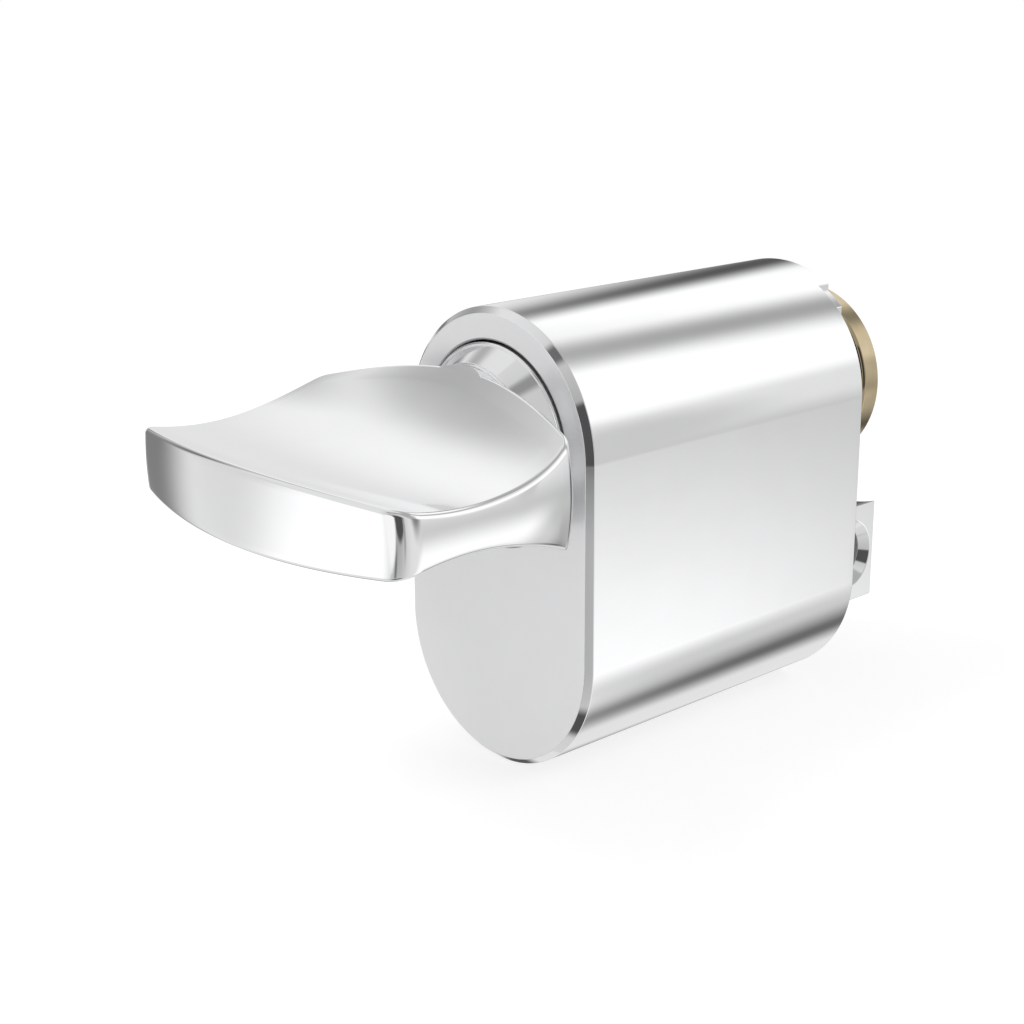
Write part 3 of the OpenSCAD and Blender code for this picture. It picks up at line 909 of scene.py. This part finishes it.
# The disc is its radius, front and back.
DISC = (7.9, 35.48, 37.57)
DISC_BREAK = 0.18
SLOT_HALF = 1.6
SLOT_DEPTH = 1.0
CUT_REACH = 9
KEY_HOLE = 1.5
SCREW_PLACE = 4.2
SCREW_HOLE = 1.05
SCREW_HEAD = 2.05
DOWEL_RADIUS = 0.75
DOWEL_GAP = 0.01
BRASS = (0.62, 0.52, 0.33)
BRASS_DARK = (0.50, 0.41, 0.255)
BRASS_LIGHT = (0.59, 0.49, 0.325)
RING_SPACING = 1.6
RING_DEPTH = 0.4


def turned_brass():
    """Dull brass with fine turning rings and brown tarnish."""
    material, tree, shader = new_material("turned_brass", BRASS, metallic=1, roughness=0.3)
    rings = tree.nodes.new("ShaderNodeTexWave")
    rings.wave_type = "RINGS"
    rings.rings_direction = "Y"
    rings.inputs["Scale"].default_value = RING_SPACING
    rings.inputs["Distortion"].default_value = 0.6
    rings.inputs["Detail"].default_value = 2
    tree.links.new(object_pattern(tree, (1, 1, 1)), rings.inputs["Vector"])
    tarnish = noise(tree, (0.5, 0.5, 0.5), detail=5)
    tinted(tree, shader, ranged(tree, tarnish, 0, 1), BRASS_DARK, BRASS_LIGHT)
    tree.links.new(ranged(tree, tarnish, 0.10, 0.05), shader.inputs["Roughness"])
    grooves = math_node(tree, "MULTIPLY", rings.outputs["Fac"], RING_DEPTH)
    height = math_node(tree, "ADD", grooves, noise(tree, (1.5, 1.5, 1.5), detail=4))
    bump(tree, height, 0.0008, shader)
    return material


def beside_axis(bm, x, z):
    """Moves a mesh that was turned on the axis to its place beside it."""
    bmesh.ops.translate(bm, verts=bm.verts, vec=(x * MM, 0, z * MM))
    return bm


brass = turned_brass()
disc_radius, disc_front, disc_back = DISC
disc_mesh = bmesh.new()
turned(disc_mesh, ((0, disc_front), (disc_radius - DISC_BREAK, disc_front),
                   (disc_radius, disc_front + DISC_BREAK), (disc_radius, disc_back - DISC_BREAK),
                   (disc_radius - DISC_BREAK, disc_back), (0, disc_back)))
disc = new_object("drive_disc_skin", disc_mesh)
combine(disc, "DIFFERENCE", box_mesh((-SLOT_HALF, disc_back - SLOT_DEPTH, -CUT_REACH),
                                     (SLOT_HALF, disc_back + OVER, CUT_REACH)))
hole = bmesh.new()
rod(hole, KEY_HOLE, disc_front - OVER, disc_back + OVER)
combine(disc, "DIFFERENCE", hole)
for side in (-1, 1):
    hole = bmesh.new()
    turned(hole, ((0, disc_front - OVER), (SCREW_HOLE, disc_front - OVER),
                  (SCREW_HOLE, disc_back - SCREW_HEAD + SCREW_HOLE), (SCREW_HEAD, disc_back),
                  (SCREW_HEAD, disc_back + OVER), (0, disc_back + OVER)), HOLE_STEPS)
    combine(disc, "DIFFERENCE", beside_axis(hole, side * SCREW_PLACE, 0))
hole = bmesh.new()
rod(hole, DOWEL_RADIUS + DOWEL_GAP, disc_front - OVER, disc_back + OVER)
combine(disc, "DIFFERENCE", beside_axis(hole, 0, SCREW_PLACE))
bevel_piece(disc, EDGE_BREAK)
dress(disc, brass, "turn", "brass", "drive_disc")


# Turn shaft
# The brass shaft inside the body, bored for the draw screw, with a pocket for each detent ball at
# every quarter turn. Only its rear end shows, between the land and the disc, with the groove that
# the clip sits in.

# The shaft is its radius, start and end, and the groove is a start, an end and a radius.
SHAFT = (6.0, 2.65, 35.47)
SHAFT_BREAK = 0.1
CLIP_GROOVE = (33.68, 34.78, 5.5)
# Each bore inside is its radius and where it ends: the tenon's, the screw's and its head's.
TENON_BORE = (4.0, 11)
DRAW_BORE = (1.65, 28.07)
HEAD_BORE = 2.8
POCKET_RADIUS = 2.1
POCKET_CENTRE = 7.55
QUARTERS = 4

shaft_radius, shaft_start, shaft_end = SHAFT
groove_start, groove_end, groove_radius = CLIP_GROOVE
tenon_bore, tenon_bore_end = TENON_BORE
draw_bore, draw_bore_end = DRAW_BORE
shaft_mesh = bmesh.new()
turned(shaft_mesh, ((tenon_bore, shaft_start), (shaft_radius - SHAFT_BREAK, shaft_start),
                    (shaft_radius, shaft_start + SHAFT_BREAK), (shaft_radius, groove_start),
                    (groove_radius, groove_start), (groove_radius, groove_end),
                    (shaft_radius, groove_end), (shaft_radius, shaft_end), (HEAD_BORE, shaft_end),
                    (HEAD_BORE, draw_bore_end), (draw_bore, draw_bore_end),
                    (draw_bore, tenon_bore_end), (tenon_bore, tenon_bore_end),
                    (tenon_bore, shaft_start)))
shaft = new_object("turn_shaft_skin", shaft_mesh)
pockets = bmesh.new()
for place in DETENT_PLACES:
    for quarter in range(QUARTERS):
        aside = Matrix.Rotation(quarter * 2 * math.pi / QUARTERS, 4, "Y")
        centre = aside @ Matrix.Translation(Vector((0, place, -POCKET_CENTRE)) * MM)
        bmesh.ops.create_uvsphere(pockets, u_segments=HOLE_STEPS, v_segments=HOLE_STEPS // 2,
                                  radius=POCKET_RADIUS * MM, matrix=centre)
combine(shaft, "DIFFERENCE", pockets)
dress(shaft, brass, "turn", "brass", "turn_shaft")


# Thrust washer
# A flat steel washer on the body's land, which the clip runs against.
# It is stamped, so its outer edges are a little broken.

# The washer is its outer radius, inner radius, start and thickness, and the clip below is too.
WASHER = (7.7, 6.1, 33.18, 0.5)
WASHER_EDGE = 0.08
STEEL = (0.55, 0.56, 0.58)
STEEL_DARK = (0.45, 0.46, 0.48)
STEEL_LIGHT = (0.60, 0.61, 0.63)


def spring_steel():
    """Grey rolled steel with a fine brushed grain."""
    material, tree, shader = new_material("spring_steel", STEEL, metallic=1, roughness=0.3)
    grain = noise(tree, (3, 12, 3), detail=3)
    clouds = ranged(tree, noise(tree, (0.8, 0.8, 0.8), detail=4), 0, 1)
    tinted(tree, shader, clouds, STEEL_DARK, STEEL_LIGHT)
    tree.links.new(ranged(tree, grain, 0.22, 0.42), shader.inputs["Roughness"])
    bump(tree, grain, 0.006, shader)
    return material


def ring_mesh(outer, inner, start, thickness, edge):
    """A flat ring along the axis with broken outer edges."""
    end = start + thickness
    bm = bmesh.new()
    turned(bm, ((inner, start), (outer - edge, start), (outer, start + edge), (outer, end - edge),
                (outer - edge, end), (inner, end), (inner, start)))
    return bm


steel = spring_steel()
washer = new_object("thrust_washer_skin", ring_mesh(*WASHER, WASHER_EDGE))
dress(washer, steel, "housing", "spring_steel", "thrust_washer")


# Retaining clip
# A snap ring of spring steel in the shaft's groove, open at the bottom so that it can be pushed on
# from above. It keeps the shaft from sliding out forwards.
CLIP = (7.2, 5.51, 33.73, 1.0)
CLIP_EDGE = 0.1
# The opening is its half width, and its start and end along Y.
CLIP_OPENING = (4.3, 33, 35.2)
CLIP_BREAK = 0.08

clip = new_object("retaining_clip_skin", ring_mesh(*CLIP, CLIP_EDGE))
opening, opening_start, opening_end = CLIP_OPENING
combine(clip, "DIFFERENCE", box_mesh((-opening, opening_start, -CUT_REACH),
                                     (opening, opening_end, 0)))
bevel_piece(clip, CLIP_BREAK)
dress(clip, steel, "turn", "spring_steel", "retaining_clip")


# Spring washers and detent springs
# The wave washer behind the collar, the split washer under the draw screw's head and the two wound
# springs under the detent balls. All are spring steel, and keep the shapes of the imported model.
finish_nodes(steel, "wave_washer", "draw_screw_washer", "front_detent_spring", "rear_detent_spring")


# Disc screws
# Two countersunk steel screws with a cross in their heads, which hold the disc on the shaft.
# They sit level with the disc's back.
SCREW_LENGTH = 6
SCREW_RADIUS = 1.0
SCREW_HEAD_RADIUS = 1.99
SCREW_INSET = 0.01
SCREW_CONE = 0.99
# The head's rounded rim: how far in each step of it is, and how far down.
SCREW_RIM = ((0.06, 0.05), (0.1, 0))
# The cross is the half length and half width of its arms.
CROSS = (1.0, 0.17)
CROSS_DEPTH = 0.5
SMALL_BREAK = 0.03
BRIGHT = (0.68, 0.69, 0.70)
BRIGHT_DARK = (0.60, 0.61, 0.62)
BRIGHT_LIGHT = (0.72, 0.73, 0.74)


def bright_steel_finish():
    """Bright ground steel."""
    material, tree, shader = new_material("bright_steel", BRIGHT, metallic=1, roughness=0.18)
    grain = noise(tree, (2, 2, 2), detail=5)
    tree.links.new(ranged(tree, grain, 0.12, 0.3), shader.inputs["Roughness"])
    tinted(tree, shader, ranged(tree, grain, 0, 1), BRIGHT_DARK, BRIGHT_LIGHT)
    bump(tree, grain, 0.004, shader)
    return material


bright_steel = bright_steel_finish()
top = disc_back - SCREW_INSET
rim = tuple((SCREW_HEAD_RADIUS - inwards, top - down) for inwards, down in SCREW_RIM)
for side, name in ((-1, "left_disc_screw"), (1, "right_disc_screw")):
    screw_mesh = bmesh.new()
    turned(screw_mesh, ((0, top - SCREW_LENGTH), (SCREW_RADIUS, top - SCREW_LENGTH),
                        (SCREW_RADIUS, top - SCREW_CONE)) + rim + ((0, top),), HOLE_STEPS)
    screw = new_object(name + "_skin", beside_axis(screw_mesh, side * SCREW_PLACE, 0))
    for width, height in (CROSS, CROSS[::-1]):
        combine(screw, "DIFFERENCE", box_mesh(
            (side * SCREW_PLACE - width, top - CROSS_DEPTH, -height),
            (side * SCREW_PLACE + width, top + CROSS_DEPTH, height)))
    bevel_piece(screw, SMALL_BREAK)
    dress(screw, bright_steel, "turn", "bright_steel", name)


# Disc dowel
# A plain ground steel pin, pressed through the disc into the shaft. It ends in the slot's floor
# and takes the turning force off the screws.
DOWEL_LENGTH = 4.5
DOWEL_BREAK = 0.1

dowel_mesh = bmesh.new()
dowel_end = disc_back - SLOT_DEPTH
dowel_start = dowel_end - DOWEL_LENGTH
turned(dowel_mesh, ((0, dowel_start), (DOWEL_RADIUS, dowel_start),
                    (DOWEL_RADIUS, dowel_end - DOWEL_BREAK),
                    (DOWEL_RADIUS - DOWEL_BREAK, dowel_end), (0, dowel_end)), HOLE_STEPS)
dowel = new_object("disc_dowel_skin", beside_axis(dowel_mesh, 0, SCREW_PLACE))
dress(dowel, bright_steel, "turn", "bright_steel", "disc_dowel")


# Detent balls
# Two ground steel balls that click into the shaft's pockets at every quarter turn.
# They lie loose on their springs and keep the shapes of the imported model.
finish_nodes(bright_steel, "front_detent_ball", "rear_detent_ball")


# Draw screw
# A long socket screw of blackened steel inside the shaft. It is screwed into the turn's tenon from
# behind and draws it tight against the shaft.
DRAW_TOP = 31.87
# The profile is radius and place along Y.
DRAW_PROFILE = ((0, 4.1), (1.49, 4.4), (1.49, 28.87), (2.6, 28.87), (2.75, 29.0), (2.75, 31.6),
                (2.5, DRAW_TOP), (0, DRAW_TOP))
DRAW_SOCKET = 1.5
SOCKET_WIDTH = 2.5
SOCKET_SIDES = 6
OXIDE = (0.06, 0.06, 0.065)
OXIDE_DARK = (0.05, 0.05, 0.055)
OXIDE_RUBBED = (0.16, 0.16, 0.17)


def black_oxide():
    """Black oxide steel, rubbed a little at random."""
    material, tree, shader = new_material("black_oxide", OXIDE, metallic=1, roughness=0.35)
    wear = noise(tree, (1.2, 1.2, 1.2), detail=5)
    rubbed = ranged(tree, wear, 0, 1, start=0.45, end=0.75)
    tinted(tree, shader, rubbed, OXIDE_DARK, OXIDE_RUBBED)
    tree.links.new(ranged(tree, wear, 0.28, 0.45), shader.inputs["Roughness"])
    bump(tree, wear, 0.01, shader)
    return material


def socket(depth, start):
    """A hexagon socket that opens along +Y at start."""
    corner = SOCKET_WIDTH / math.sqrt(3) * MM
    bm = bmesh.new()
    bmesh.ops.create_cone(bm, cap_ends=True, segments=SOCKET_SIDES, radius1=corner,
                          radius2=corner, depth=2 * depth * MM)
    lying = Matrix.Rotation(QUARTER_TURN, 3, "X")
    bmesh.ops.rotate(bm, verts=bm.verts, cent=(0, 0, 0), matrix=lying)
    bmesh.ops.translate(bm, verts=bm.verts, vec=(0, start * MM, 0))
    return bm


oxide = black_oxide()
draw_mesh = bmesh.new()
turned(draw_mesh, DRAW_PROFILE, HOLE_STEPS)
draw = new_object("draw_screw_skin", draw_mesh)
combine(draw, "DIFFERENCE", socket(DRAW_SOCKET, DRAW_TOP))
bevel_piece(draw, SMALL_BREAK)
dress(draw, oxide, "turn", "black_steel", "draw_screw")


# Detent screws
# Two set screws of blackened steel that close the detent chambers from below and carry the springs.
# Each is screwed in by the hexagon socket in its lower end.

# A set screw is its radius, bottom and top.
SET_SCREW = (2.49, -25.05, -19.05)
SET_TOP_BREAK = 0.2
SET_BOTTOM_BREAK = 0.25
SET_SOCKET = 3

set_radius, set_bottom, set_top = SET_SCREW
for name, place in zip(("front_detent_screw", "rear_detent_screw"), DETENT_PLACES):
    set_mesh = bmesh.new()
    turned(set_mesh, ((0, -set_top), (set_radius - SET_TOP_BREAK, -set_top),
                      (set_radius, -set_top + SET_TOP_BREAK),
                      (set_radius, -set_bottom - SET_BOTTOM_BREAK),
                      (set_radius - SET_BOTTOM_BREAK, -set_bottom), (0, -set_bottom)), HOLE_STEPS)
    bmesh.ops.recalc_face_normals(set_mesh, faces=set_mesh.faces)
    set_screw = new_object(name + "_skin", set_mesh)
    combine(set_screw, "DIFFERENCE", socket(SET_SOCKET, -set_bottom))
    bevel_piece(set_screw, SMALL_BREAK)
    down = Matrix.Translation((0, place * MM, 0)) @ Matrix.Rotation(-QUARTER_TURN, 4, "X")
    set_screw.data.transform(down)
    dress(set_screw, oxide, "housing", "black_steel", name)
